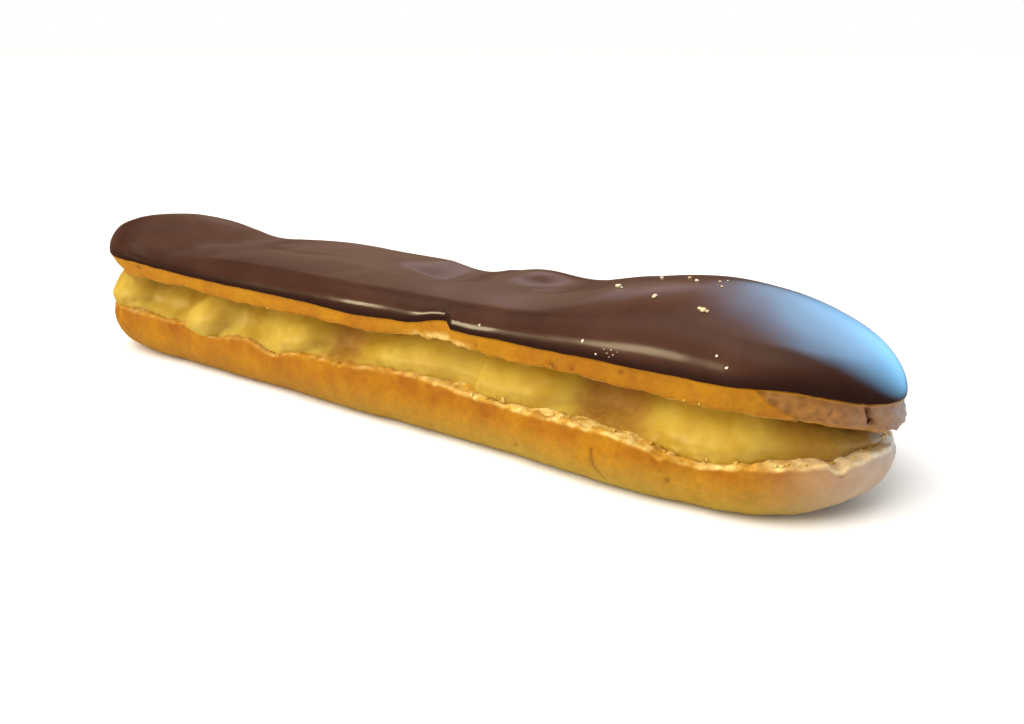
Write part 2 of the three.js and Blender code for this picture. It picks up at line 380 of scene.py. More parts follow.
def finishMaterial(tree, look, colour, shine, height):
    strength, distance = look["bump"]
    bump = addNode(tree, "ShaderNodeBump", {"Height": height, "Strength": strength, "Distance": distance})
    shader = addNode(tree, "ShaderNodeBsdfPrincipled",
                     {"Base Color": colour, "Roughness": shine, "Normal": bump.outputs["Normal"]})
    weight, radius, scale = look["subsurface"]
    shader.inputs["Subsurface Weight"].default_value = weight
    shader.inputs["Subsurface Radius"].default_value = radius
    shader.inputs["Subsurface Scale"].default_value = scale
    shader.inputs["Specular IOR Level"].default_value = look["specular"]
    addNode(tree, "ShaderNodeOutputMaterial", {"Surface": shader.outputs["BSDF"]})


# choux crust: golden bake in patches and faint streaks, yellower below, pale torn crumb, brown marks, and
# painted shade in pores, pits and cracks
crustLook = {
    "gold": srgb(167, 112, 9),
    "deep": srgb(150, 90, 8),
    "yellow": srgb(172, 146, 54),
    "crumb": srgb(226, 197, 118),
    "crumbDeep": srgb(198, 150, 58),
    # brown of bake marks, also used as painted shade in pores, pits and cracks
    "scorchAndShade": srgb(104, 52, 14),
    # painted sheen: the pale grey that cool light grazing the near end puts on the crust
    "paintedSheen": srgb(194, 175, 158),
    "paintedSheenCrumb": srgb(240, 226, 196),
    "roughness": 0.62,
    "roughSpread": (0.1, 0.14),  # how much smoother and rougher it gets
    "sizes": (130.0, 1400.0, 420.0),  # scales of patches, grain and pores
    "yellowUp": (0.001, 0.0075),  # heights in metres over which the yellow fades out
    "yellowAlong": (-0.03, 0.03),  # and where along the bun it sets in
    "yellowLeast": 0.3,
    "yellowInPatches": (1.1, 0.7),  # in the dark and in the light patches
    "patchEdges": (0.38, 0.62),
    "streakTone": (0.93, 1.06),  # darkest and lightest
    "grainTone": (0.86, 1.1),
    "poreShare": 0.16,
    "paintedSheenInPatches": (0.6, 0.95),
    "paintedSheenShare": 0.75,  # how much of the painted sheen shows on the torn crumb
    "crumbStreaks": (0.4, 0.6),
    "crumbGrain": (0.34, 0.62, 0.86, 1.06),  # range of the grain, then darkest and lightest
    "fray": (0.35, 0.6, 0.8, 1.2),  # range of the grain, then how it thins or fills the torn edge
    "scorchAndShadeShare": 0.85,
    "bump": (0.45, 0.00022),  # strength and distance
    "subsurface": (0.12, (1.0, 0.45, 0.15), 0.0012),  # weight, radius and scale
    "specular": 0.18,
}


def chouxMaterial(name, look):
    material, tree = newMaterial(name)
    grain, coords = placeGrain(tree, *look["sizes"])
    patches, fine, streaks = (grain.outputs[key] for key in ("Patches", "Grain", "Streaks"))
    split = addNode(tree, "ShaderNodeSeparateXYZ", {"Vector": coords.outputs["Object"]})
    bake = mixColour(tree, spread(tree, patches, *look["patchEdges"]), look["deep"], look["gold"])
    low = mathNode(tree, "MULTIPLY",
                   spread(tree, split.outputs["X"], *look["yellowAlong"], look["yellowLeast"], 1.0),
                   spread(tree, split.outputs["Z"], *look["yellowUp"], 1.0, 0.0))
    low = mathNode(tree, "MULTIPLY", low, spread(tree, patches, *patchSpan, *look["yellowInPatches"]))
    bake = mixColour(tree, low, bake, look["yellow"])
    bake = mixColour(tree, 1.0, bake, spread(tree, streaks, *grainSpan, *look["streakTone"]), "MULTIPLY")
    bake = mixColour(tree, 1.0, bake, spread(tree, fine, *grainSpan, *look["grainTone"]), "MULTIPLY")
    # pores are darkened: painted shade in them
    pores = mathNode(tree, "MULTIPLY", grain.outputs["Pores"], look["poreShare"])
    bake = mixColour(tree, pores, bake, look["scorchAndShade"])
    # painted sheen: the near end turns paler and greyer, as under cool grazing light
    sheenMask = maskOf(tree, "paintedSheen")
    patchySheen = mathNode(tree, "MULTIPLY", sheenMask, spread(tree, patches, *patchSpan, *look["paintedSheenInPatches"]))
    bake = mixColour(tree, patchySheen, bake, look["paintedSheen"])
    crumb = mixColour(tree, spread(tree, streaks, *look["crumbStreaks"]), look["crumbDeep"], look["crumb"])
    crumb = mixColour(tree, 1.0, crumb, spread(tree, fine, *look["crumbGrain"]), "MULTIPLY")
    crumb = mixColour(tree, mathNode(tree, "MULTIPLY", sheenMask, look["paintedSheenShare"]), crumb, look["paintedSheenCrumb"])
    frayed = spread(tree, fine, *look["fray"])
    ragged = mathNode(tree, "MULTIPLY", maskOf(tree, "torn"), frayed, clamp=True)
    colour = mixColour(tree, ragged, bake, crumb)
    scorchAndShadeShown = mathNode(tree, "MULTIPLY", maskOf(tree, "scorchAndShade"), look["scorchAndShadeShare"], clamp=True)
    colour = mixColour(tree, scorchAndShadeShown, colour, look["scorchAndShade"])
    shine = unevenShine(tree, look, fine, grainSpan)
    finishMaterial(tree, look, colour, shine, grain.outputs["Height"])
    return material


# custard: moist, softly translucent, with a fine set grain
custardLook = {
    "light": srgb(188, 161, 64),
    "deep": srgb(173, 139, 42),
    # brown for the hollows, where it is painted shade, and for the near end
    "brownShade": srgb(150, 98, 38),
    "roughness": 0.42,
    "roughSpread": (0.08, 0.1),
    "brownShadeRougher": 0.25,
    "brownShadeGrain": (0.3, 0.6, 0.6, 1.0),  # range of the grain, then least and most of the brown
    "sizes": (160.0, 1100.0, 700.0),
    "bump": (0.2, 0.00015),
    "subsurface": (0.4, (1.0, 0.7, 0.25), 0.002),
    "specular": 0.4,
}


def custardMaterial(name, look):
    material, tree = newMaterial(name)
    grain, _ = placeGrain(tree, *look["sizes"])
    patches = grain.outputs["Patches"]
    colour = mixColour(tree, spread(tree, patches, *patchSpan), look["deep"], look["light"])
    # brown in the hollows between swells: painted shade
    brownShade = maskOf(tree, "brownShade")
    uneven = spread(tree, grain.outputs["Grain"], *look["brownShadeGrain"])
    colour = mixColour(tree, mathNode(tree, "MULTIPLY", brownShade, uneven), colour, look["brownShade"])
    shine = unevenShine(tree, look, patches, patchSpan)
    shine = mathNode(tree, "MULTIPLY_ADD", brownShade, look["brownShadeRougher"], shine)
    finishMaterial(tree, look, colour, shine, grain.outputs["Grain"])
    return material


# chocolate icing: set, satin, thicker towards its rim, with painted shade darkening the rim
icingLook = {
    "dark": srgb(58, 35, 26),
    "milk": srgb(71, 45, 35),
    # painted shade on the icing's lower edge
    "rim": srgb(32, 16, 12),
    "paintedRimShadeShare": 0.85,
    "roughness": 0.17,
    "roughSpread": (0.02, 0.02),
    "sizes": (70.0, 700.0, 300.0),
    "slowScale": 160.0,  # of the faint unevenness in the gloss
    "bump": (0.1, 0.0003),
    "subsurface": (0.0, (1.0, 1.0, 1.0), 0.001),  # none
    "specular": 0.3,
}


def icingMaterial(name, look):
    material, tree = newMaterial(name)
    grain, coords = placeGrain(tree, *look["sizes"])
    patches = grain.outputs["Patches"]
    colour = mixColour(tree, spread(tree, patches, *patchSpan), look["dark"], look["milk"])
    # the rim mask darkens the lower edge: painted shade
    rim = mathNode(tree, "MULTIPLY", maskOf(tree, "rim"), look["paintedRimShadeShare"])
    colour = mixColour(tree, rim, colour, look["rim"])
    slow = addNode(tree, "ShaderNodeTexNoise",
                   {"Vector": coords.outputs["Object"], "Scale": look["slowScale"], "Detail": 0.0})
    shine = unevenShine(tree, look, patches, grainSpan)
    finishMaterial(tree, look, colour, shine, slow.outputs["Fac"])
    return material


upperLook = {
    **crustLook,
    "gold": srgb(178, 124, 12),
    "deep": srgb(166, 107, 10),
    "roughness": 0.6,
    "yellowUp": (0.001, 0.004),
}
crumbLook = {
    **crustLook,
    "crumb": srgb(240, 226, 200),
    "crumbDeep": srgb(222, 198, 158),
    "yellowUp": (0.001, 0.004),
}
lowerCrust = chouxMaterial("lowerChouxCrust", crustLook)
upperCrust = chouxMaterial("upperChouxCrust", upperLook)
paleCrumb = chouxMaterial("paleChouxCrumb", crumbLook)
custardCream = custardMaterial("custardCream", custardLook)
chocolate = icingMaterial("setChocolate", icingLook)
print("materials ready")


# lower half of the choux
bottomLook = {
    "waver": 0.18,  # slow unevenness of the outline
    "rimRag": 0.4,  # unevenness of the torn rim
    "rimRagFine": 0.6,  # share of it that is fine
    "rimCrumb": 0.45,  # crumb height on the cut face
    "rimCrumbFine": 0.36,
    "innerRise": 0.2,  # the rim's inner edge stands this much higher
    "innerRag": 0.3,
    "innerChips": 0.6,  # share of a chip's depth at the inner edge
    "edge": (0.25, 0.9, 1.0),  # lean of the wall, height and width of the rim's rounded edge
    "lumps": 0.28,  # slow bulges of the crust
    "grain": 0.06,  # fine crust relief
    "reliefUp": (0.05, 1.2),  # heights over which the relief sets in
    "rimWidth": 3.0,
    "wallReach": (6.5, 10.0),  # how far in the trough's wall starts and its floor begins
    "wallDrop": 2.4,
    "cutFade": (0.7, 0.15),  # depths under the rim over which the torn crumb sets in
    "tornPatches": (0.8, 0.6),  # middle and swing of its paleness
    "paleFrom": (2.0, 26.0),  # the torn rim grows paler between these places
    "paleLeast": 0.38,
    "paleBack": 0.5,
    "chips": [(85.2, 1.3, 0.9), (58.6, 1.0, 0.5), (-8.0, 1.2, 0.4)],  # place, half length and depth
    "pits": [(63.0, 9.0, 0.8), (60.5, 4.7, 0.36), (33.0, 3.6, 0.3)],  # place, height and radius
    "pitDepth": 0.35,
    "hairline": [(47.8, 7.0), (48.1, 4.5), (49.9, 2.1)],  # place and height along a fine crack
    "hairlineHalf": 0.25,
    "hairlineWaver": 0.2,
    "hairlineDepth": 0.25,
    "scorchAndShade": 0.85,  # of the pits and the crack: painted shade in them
    # place, share and half length of the painted sheen round the near end, on both halves
    "paintedSheenWide": (tip + 2, 0.55, 19),
    "paintedSheenMiddle": (tip + 1, 0.45, 11),
}


def stretchShare(start, full, fade, end):
    # 1 along a stretch of the outline, eased in and out at its ends
    return easeStep(place, start, full) * (1 - easeStep(place, fade, end))


def spotMask(height, spots):
    total = np.zeros_like(height)
    for spotPlace, spotHeight, radius in spots:
        away = np.hypot(place[:, None] - spotPlace, height - spotHeight) / radius
        total = np.maximum(total, np.exp(-away ** 2))
    return total


def lineMask(height, stops, halfWidth):
    heights = [h for _, h in reversed(stops)]
    places = [p for p, _ in reversed(stops)]
    line = np.interp(height, heights, places)
    inside = (height > heights[0]) & (height < heights[-1])
    return np.exp(-((place[:, None] - line) / halfWidth) ** 2) * inside


def paintedSheenMask(height):
    # painted sheen: paler, greyer bake round the near end, standing in for cool light grazing the crust
    share = swellAt(place, [bottomLook["paintedSheenWide"]], 4) + swellAt(place, [bottomLook["paintedSheenMiddle"]])
    return share[:, None] * np.ones_like(height)


def makeBottomShell():
    look = bottomLook
    base = layers["base"] + look["waver"] * fractal(edgePoints, 9.0, 2, 3)
    rag = fractal(edgePoints, 5.5, 2, 5) + look["rimRagFine"] * fractal(edgePoints, 1.7, 2, 6)
    chips = np.zeros_like(place)
    for spot, half, depth in look["chips"]:
        chips += depth * np.exp(-((place - spot) / half) ** 4)
    rim = layers["rim"] + look["rimRag"] * rag - chips
    inner = layers["rim"] + look["innerRise"] + look["innerRag"] * fractal(edgePoints, 3.5, 2, 8)
    inner = inner - look["innerChips"] * chips
    corner, bulge = layers["corner"], layers["bulge"]
    lean, roundHigh, roundWide = look["edge"]
    wallStart, floorStart = look["wallReach"]
    wallTop = layers["rim"] - look["wallDrop"]
    zero = 0 * base
    trough = zero + bun["trough"]
    rimInner = base - roundWide - look["rimWidth"]
    section = Profile(len(place))
    section.line((zero, zero), (base - corner, zero), 5, "under")
    section.oval((base - corner, zero), (base, bulge), 20, "crust")
    section.line((base, bulge), (base - lean, rim - roundHigh), 12, "crust")
    section.inwardOval((base - lean, rim - roundHigh), (base - roundWide, rim), 6, "edge")
    section.line((base - roundWide, rim), (rimInner, inner), 10, "cut")
    section.line((rimInner, inner), (base - wallStart, wallTop), 5, "trough")
    section.line((base - wallStart, wallTop), (base - floorStart, trough), 3, "trough")
    section.line((base - floorStart, trough), (zero, trough), 3, "trough")
    section.point(zero, bun["trough"], "trough")
    reach, height, tags = section.arrays()
    points = surfacePoints(walk, reach, height)
    normal = surfaceNormals(points)
    crust = np.isin(tags, ["crust", "edge"])[None, :] * easeStep(height, *look["reliefUp"])
    cut = np.isin(tags, ["edge", "cut"])[None, :] * np.ones_like(height)
    cutLow, cutHigh = look["cutFade"]
    cut *= easeStep(height, rim[:, None] - cutLow, rim[:, None] - cutHigh)
    pits = crust * spotMask(height, look["pits"])
    waver = look["hairlineWaver"] * fractal(points, 1.2, 2, 15)
    hairline = crust * lineMask(height + waver, look["hairline"], look["hairlineHalf"])
    relief = look["lumps"] * fractal(points, 8.0, 2, 11) + look["grain"] * fractal(points, 0.9, 3, 12)
    push = crust * relief
    crumb = fractal(points, 3.0, 2, 13) + look["rimCrumbFine"] * fractal(points, 1.2, 2, 14)
    push += cut * look["rimCrumb"] * crumb
    push -= look["pitDepth"] * pits + look["hairlineDepth"] * hairline
    points = points + normal * push[..., None]
    backShare = layers["backShare"]
    pale = look["paleLeast"] + (1 - look["paleLeast"]) * easeStep(place, *look["paleFrom"])
    pale = pale * (1 - backShare) + look["paleBack"] * backShare
    tornMiddle, tornSwing = look["tornPatches"]
    torn = np.clip(cut * pale[:, None] * (tornMiddle + tornSwing * fractal(points, 2.2, 2, 16)), 0, 1)
    # pits and the hairline crack are painted dark: painted shade in them
    scorchAndShade = look["scorchAndShade"] * (pits + hairline)
    masks = {"torn": torn, "scorchAndShade": scorchAndShade, "paintedSheen": paintedSheenMask(height)}
    piece = meshFromGrid("bottomShell", points, masks)
    piece.data.materials.append(lowerCrust)
    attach(piece, "root")
    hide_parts("bottom_shell")
    return piece


bottomShell = makeBottomShell()
print("bottom shell:", len(bottomShell.data.polygons), "faces")


# piped custard
custardPlan = {
    "inset": 6.5,
    "round": 1.7,
    "roundBelow": 0.5,
    "steps": 34,  # points up the face
    # place, bulge and half length of each swell along the front
    "swells": [
        (-82, 7.4, 13.5), (-59, 2.0, 6), (-46, 7.4, 6.8), (-33, 2.8, 6), (-20.5, 6.2, 8.2),
        (9, 5.6, 14.5), (33, 5.6, 10), (66, 6.3, 13.5), (84, 2.4, 6), (tip + 6, 4.8, 14),
    ],
    "slope": 3.4,  # how far the face leans back under the lid
    # parts of the face, from -1 at its foot to 1 at its top, that lean back or run out to the rim
    "slopeOver": (-0.5, 1.0),
    "runOutOver": (-1.0, -0.25),
    # where one swell starts in front of the last: place, height, fade and half length of the rise
    "step": (24.1, 1.3, 5.0, 0.35),
    "lean": -0.9,
    "extraLean": (-50, -1.8, 10),
    "seat": (3.0, 1.5),  # how far in from the shell's outside it runs out, and how much less on the left
    "leftFade": 14,
    "low": (0.2, 0.3, 0.4),  # how far its foot is under the rim: always, in a hollow, where it spills
    "hollowShade": 0.8,
    "hollowShadeFrom": (1.6, 4.6),  # hollows between these depths get painted brown shade
    "hollowShadeAlong": (-30, -6),  # most of all from here towards the near end
    "hollowShadeLeast": 0.15,
    "brownShadePatches": 0.3,
    "straighter": (-85, 1.7, 13),  # the far swell leans back less
    "spillsFrom": (-1.2, 0.2),  # a swell that comes this far past the shell's outside spills over the rim
    "tuckUnder": 0.5,  # how far such a swell rounds in below
    "tuckOver": (0.2, 1.0),  # from here down to its foot
    "overLid": 0.15,  # how far its top is above the lid's edge
    "trough": (10.2, 6.6),  # how far in its hidden part leaves the floor, and the wall of the trough
    "foot": (0.2, 0.4),  # how far out and below it meets the face
    "head": (0.3, 0.1, 4.8),  # how far in and above at the top, and least distance in from the lid's side
    "vaultReach": 9.0,  # how far in from the lid's side the vault starts
    "brownEnd": (tip - 6, 0.6, 15),
    "ripple": 0.22,
    "drawn": 0.07,  # fine marks drawn out along the piping
    "drawnAlong": (0.45, 0.45, 1.0),
    "grain": 0.035,
    "grainy": [(9.5, 0.3, 5.5), (29.5, 0.3, 4), (63, 0.35, 8)],  # place, relief and half length
    "grainyUp": (0.8, 3.2),  # heights above the foot over which that fades out
    "backCount": 7,
    "backBulge": (5.2, 0.8),  # bulge of the back's swells and how much it varies
    "backDrift": 0.2,  # how far they are off even spacing, and their half length, as shares of it
    "backHalf": 0.44,
    "floorGap": 0.2,  # kept clear of the trough and the vault
}


def backPiping():
    parts = []
    pitch = 2 * bun["spine"] / custardPlan["backCount"]
    for k in range(custardPlan["backCount"]):
        x = -bun["spine"] + (k + 0.5) * pitch + custardPlan["backDrift"] * pitch * math.sin(2.4 * k + 1)
        spot = 2 * tip - x if x > 0 else -2 * tip - x
        bulge, vary = custardPlan["backBulge"]
        parts.append((spot, bulge + vary * math.cos(1.7 * k), custardPlan["backHalf"] * pitch))
    return parts


def makeCustard():
    plan = custardPlan
    base, lid, rim, lidEdge = layers["base"], layers["lid"], layers["rim"], layers["lidEdge"]
    zero = 0 * base
    root = np.minimum(base, lid) - plan["inset"]
    left = stretchShare(-tip - plan["leftFade"], -tip, 0, plan["leftFade"])
    seatIn, seatLeft = plan["seat"]
    seat = base - seatIn + seatLeft * left  # where the custard runs out on the shell's rim
    steps = plan["steps"]
    turn = math.pi * (np.arange(steps + 1) / steps - 0.5)[None, :]
    leanShare = plan["lean"] + swellAt(place, [plan["extraLean"]])
    lean = place[:, None] + leanShare[:, None] * np.sin(turn)
    bulge = swellAt(lean, plan["swells"] + backPiping(), 3)
    at, tall, fade, half = plan["step"]
    past = np.clip(lean - at, 0, None)
    bulge += tall * easeStep(lean, at - half, at + half) * np.exp(-past / fade)
    rounding = np.where(turn > 0, plan["round"], plan["roundBelow"])
    faceReach = root[:, None] + bulge - rounding * (1 - np.cos(turn))
    slope = plan["slope"] - swellAt(place, [plan["straighter"]])
    faceReach -= slope[:, None] * easeStep(np.sin(turn), *plan["slopeOver"])
    spilt = easeStep(root + bulge[:, steps // 2] - base, *plan["spillsFrom"])
    faceReach -= plan["tuckUnder"] * spilt[:, None] * easeStep(-np.sin(turn), *plan["tuckOver"])
    # where the swell stands back, the custard runs out in a hollow curve to the rim
    short = np.clip(seat[:, None] - faceReach, 0, None)
    faceReach += short * (1 - easeStep(np.sin(turn), *plan["runOutOver"])) ** 2
    sunk = easeStep(seat - (root + bulge[:, 0] - plan["roundBelow"]), 0, 1)
    under, underSunk, underSpilt = plan["low"]
    low = rim - under - underSunk * sunk - underSpilt * spilt
    high = lidEdge + plan["overLid"]
    faceHeight = (low + high)[:, None] / 2 + (high - low)[:, None] / 2 * np.sin(turn)
    floor = zero + bun["trough"] + plan["floorGap"]
    ceiling = zero + bun["vault"] - plan["floorGap"]
    wallTop = rim - bottomLook["wallDrop"]
    floorIn, wallIn = plan["trough"]
    footOut, footLow = plan["foot"]
    section = Profile(len(place))
    section.line((zero, floor), (base - floorIn, floor), 3, "hidden")
    section.line((base - floorIn, floor), (base - wallIn, wallTop), 3, "hidden")
    section.line((base - wallIn, wallTop), (seat + footOut, low - footLow), 4, "hidden")
    lowReach, lowHeight, lowTags = section.arrays()
    headIn, headUp, lidIn = plan["head"]
    topReach = np.minimum(faceReach[:, -1] - headIn, lid - lidIn)
    vaultStart = lid - plan["vaultReach"]
    section = Profile(len(place))
    section.line((topReach, high + headUp), (vaultStart, ceiling), 3, "hidden")
    section.line((vaultStart, ceiling), (zero, ceiling), 3, "hidden")
    section.point(zero, ceiling, "hidden")
    highReach, highHeight, highTags = section.arrays()
    reach = np.concatenate([lowReach, faceReach, highReach], 1)
    height = np.concatenate([lowHeight, faceHeight, highHeight], 1)
    face = np.concatenate([np.zeros(len(lowTags)), np.ones(steps + 1), np.zeros(len(highTags))])[None, :]
    points = surfacePoints(walk, reach, height)
    normal = surfaceNormals(points)
    push = plan["ripple"] * fractal(points, 4.5, 2, 21)
    push = push + plan["drawn"] * fractal(points * np.array(plan["drawnAlong"]), 0.8, 2, 22)
    push += plan["grain"] * fractal(points, 0.7, 2, 23)
    grainyFrom, grainyTo = plan["grainyUp"]
    lowHalf = 1 - easeStep(height, low[:, None] + grainyFrom, low[:, None] + grainyTo)
    grainy = swellAt(place, plan["grainy"], 4)[:, None] * lowHalf
    push += grainy * np.maximum(fractal(points, 1.1, 2, 25), 0)
    points = points + normal * (face * push)[..., None]
    # hollows set back under the lid are painted brown: painted shade
    hollow = plan["hollowShade"] * easeStep(short[:, steps // 2], *plan["hollowShadeFrom"])
    hollow *= plan["hollowShadeLeast"] + (1 - plan["hollowShadeLeast"]) * easeStep(place, *plan["hollowShadeAlong"])
    brownShade = np.maximum(hollow, swellAt(place, [plan["brownEnd"]], 4))
    patchy = 1 + plan["brownShadePatches"] * fractal(points, 2.0, 2, 24)
    brownShade = np.clip(brownShade[:, None] * patchy, 0, 1) * face
    piece = meshFromGrid("custardFilling", points, {"brownShade": brownShade})
    piece.data.materials.append(custardCream)
    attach(piece, "root")
    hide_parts("custard_filling")
    return piece


custardFilling = makeCustard()
print("custard:", len(custardFilling.data.polygons), "faces")


# upper half of the choux
topLook = {
    "edgeRag": 0.2,
    "edgeRagFine": 0.3,
    "lumps": 0.2,
    "grain": 0.07,
    "cutCrumb": 0.2,
    "cutWidth": 4.0,  # width of the cut face inside the edge
    "edge": (1.3, 0.1, 1.0),  # inner and outer reach, and height, of the rounded cut edge
    "vaultReach": 8.5,  # how far in the vault starts
    "bandUnder": 0.2,  # how far the band ends under the icing's edge
    "bandTuck": 0.5,  # share of the tuck halfway up the band
    "bandHead": (0.1, 0.3),  # how far the band's top stands out, and its share of the swell
    "calmTop": (0.8, 0.4),  # how much of the relief is lost below the icing, and over what height
    "underIcing": [(0.6, 0.6), (4.0, 1.2)],  # hidden: distance in and height over the icing's edge
    "innerTop": 21.0,  # hidden height along the spine
    "crack": (89.6, 1.2, 0.5, 1.5),  # place at the cut edge, lean, half width and depth of the split
    "crackWaver": 0.35,
    "flap": (78.3, 6.4, 0.55),  # place of the torn skin at the cut edge, its lean and its step
    "flapWaver": 1.3,
    "flapRelief": 0.46,
    "flapLip": 0.15,
    "flapLipAt": (0.5, 0.6),  # distance before the tear and half width
    "flapEdge": (0.3, 0.5),  # the step is eased over these distances before and after the tear
    "flapEnd": (tip + 6, tip + 16),
    "chipped": (8.0, 25.0, 4.0),  # stretch where the cut edge is chipped and pale, and its fade
    "chippedRag": 0.55,
    "chippedPale": 0.8,
    "chippedUp": (0.15, 0.55),  # shares of the band's height over which that fades out
    "cutPale": 0.7,
    "cutFade": 0.5,
    # the cut edge is darker round the near end and along the far half
    "darkEnd": 0.85,
    "darkEndAlong": (74, 82, tip + 20, tip + 30),
    "paleLeast": 0.3,
    "paleAlong": (0, 14, tip + 20, tip + 40),
    "brown": 0.26,
    "brownAlong": (22.0, 66.0, tip, tip + 25),  # the band bakes browner along this stretch
    "spots": [
        (39.2, 18.2, 0.6), (43.0, 18.3, 0.4), (51.5, 19.4, 0.4), (-64.9, 20.3, 0.6), (24.5, 18.9, 0.35),
    ],
    "spotDepth": 0.15,
    "scorchAndShade": (0.8, 0.7, 0.25),  # of the split, the spots and the torn skin; in the split it is painted shade
    "flapPaintedSheen": 0.2,
    "paintedSheenPower": 1.5,  # draws the painted sheen in towards the near end
}


def chippedShare():
    start, end, fade = topLook["chipped"]
    return stretchShare(start, start + fade, end - fade, end)


def makeTopShell():
    look = topLook
    lid, band, tuck, icingEdge = layers["lid"], layers["band"], layers["tuck"], layers["icingEdge"]
    zero = 0 * lid
    along = place[:, None]
    chipped = chippedShare()
    rag = fractal(edgePoints, 5.0, 2, 31) + look["edgeRagFine"] * fractal(edgePoints, 1.6, 2, 32)
    rag = look["edgeRag"] * rag
    rag += chipped * look["chippedRag"] * fractal(edgePoints, 1.8, 3, 33)
    lidEdge = layers["lidEdge"] + rag
    bandTop = icingEdge - look["bandUnder"]
    vault = zero + bun["vault"]
    vaultStart = lid - look["vaultReach"]
    cutIn = lid - look["cutWidth"] - tuck
    edgeIn, edgeOut, edgeHigh = look["edge"]
    edgeFoot = (lid - edgeIn + band - tuck, lidEdge)
    edgeHead = (lid - edgeOut + band - tuck, lidEdge + edgeHigh)
    headOut, headSwell = look["bandHead"]
    bandMiddle = (lid + band - look["bandTuck"] * tuck, (lidEdge + icingEdge) / 2)
    bandHead = (lid + headOut + headSwell * band, bandTop)
    hiddenOuter, hiddenInner = ((lid - inward, icingEdge + up) for inward, up in look["underIcing"])
    section = Profile(len(place))
    section.line((zero, vault), (vaultStart, vault), 3, "hidden")
    section.line((vaultStart, vault), (cutIn, lidEdge), 4, "cut")
    section.line((cutIn, lidEdge), edgeFoot, 7, "cut")
    section.oval(edgeFoot, edgeHead, 7, "edge")
    section.line(edgeHead, bandMiddle, 7, "band")
    section.line(bandMiddle, bandHead, 10, "band")
    section.line(bandHead, hiddenOuter, 4, "band")
    section.line(hiddenOuter, hiddenInner, 3, "hidden")
    section.line(hiddenInner, (zero, zero + look["innerTop"]), 3, "hidden")
    section.point(zero, look["innerTop"], "hidden")
    reach, height, tags = section.arrays()
    points = surfacePoints(walk, reach, height)
    normal = surfaceNormals(points)
    crust = np.isin(tags, ["band", "edge"])[None, :] * np.ones_like(height)
    calm, calmOver = look["calmTop"]
    crust *= 1 - calm * easeStep(height, bandTop[:, None] - calmOver, bandTop[:, None])
    cut = np.isin(tags, ["cut", "edge"])[None, :] * np.ones_like(height)
    relief = look["lumps"] * fractal(points, 6.0, 2, 34) + look["grain"] * fractal(points, 1.0, 3, 35)
    push = crust * relief
    push += cut * look["cutCrumb"] * fractal(points, 1.8, 2, 36)
    rise = (height - lidEdge[:, None]) / (icingEdge - lidEdge)[:, None]
    flapPlace, flapLean, flapStep = look["flap"]
    line = flapPlace - flapLean * rise + look["flapWaver"] * fractal(points, 3.0, 3, 37)
    before, after = look["flapEdge"]
    flaky = crust * easeStep(along, line - before, line + after) * (1 - easeStep(along, *look["flapEnd"]))
    lipBefore, lipHalf = look["flapLipAt"]
    lip = crust * np.exp(-((along - line + lipBefore) / lipHalf) ** 2)
    flakes = look["flapRelief"] * fractal(points, 1.3, 3, 38)
    push += -flaky * flapStep + flaky * flakes + look["flapLip"] * lip
    crackPlace, crackLean, crackHalf, crackDepth = look["crack"]
    crackLine = crackPlace - crackLean * rise + look["crackWaver"] * fractal(points, 1.4, 2, 39)
    crack = np.exp(-((along - crackLine) / crackHalf) ** 2) * crust
    push -= crack * crackDepth
    spots = crust * spotMask(height, look["spots"])
    push -= look["spotDepth"] * spots
    points = points + normal * push[..., None]
    lowPart = 1 - easeStep(rise, *look["chippedUp"])
    brown = look["brown"] * stretchShare(*look["brownAlong"])
    pale = 1 - look["darkEnd"] * stretchShare(*look["darkEndAlong"])
    pale *= look["paleLeast"] + (1 - look["paleLeast"]) * stretchShare(*look["paleAlong"])
    fade = look["cutFade"]
    torn = look["cutPale"] * cut * pale[:, None] * easeStep(lidEdge[:, None] + fade - height, 0, fade)
    torn = np.clip(torn + look["chippedPale"] * chipped[:, None] * crust * lowPart, 0, 1)
    # the split is painted dark as painted shade; spots, torn skin and band are brown bake
    ofCrack, ofSpots, ofFlap = look["scorchAndShade"]
    scorchAndShade = np.clip(ofCrack * crack + ofSpots * spots + ofFlap * flaky + brown[:, None] * crust, 0, 1)
    # painted sheen round the near end and on the torn skin
    paintedSheen = np.maximum(paintedSheenMask(height) ** look["paintedSheenPower"], look["flapPaintedSheen"] * flaky) * crust
    piece = meshFromGrid("topShell", points, {"torn": torn, "scorchAndShade": scorchAndShade, "paintedSheen": paintedSheen})
    piece.data.materials.append(upperCrust)
    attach(piece, "root")
    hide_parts("top_shell")
    return piece


topShell = makeTopShell()
print("top shell:", len(topShell.data.polygons), "faces")


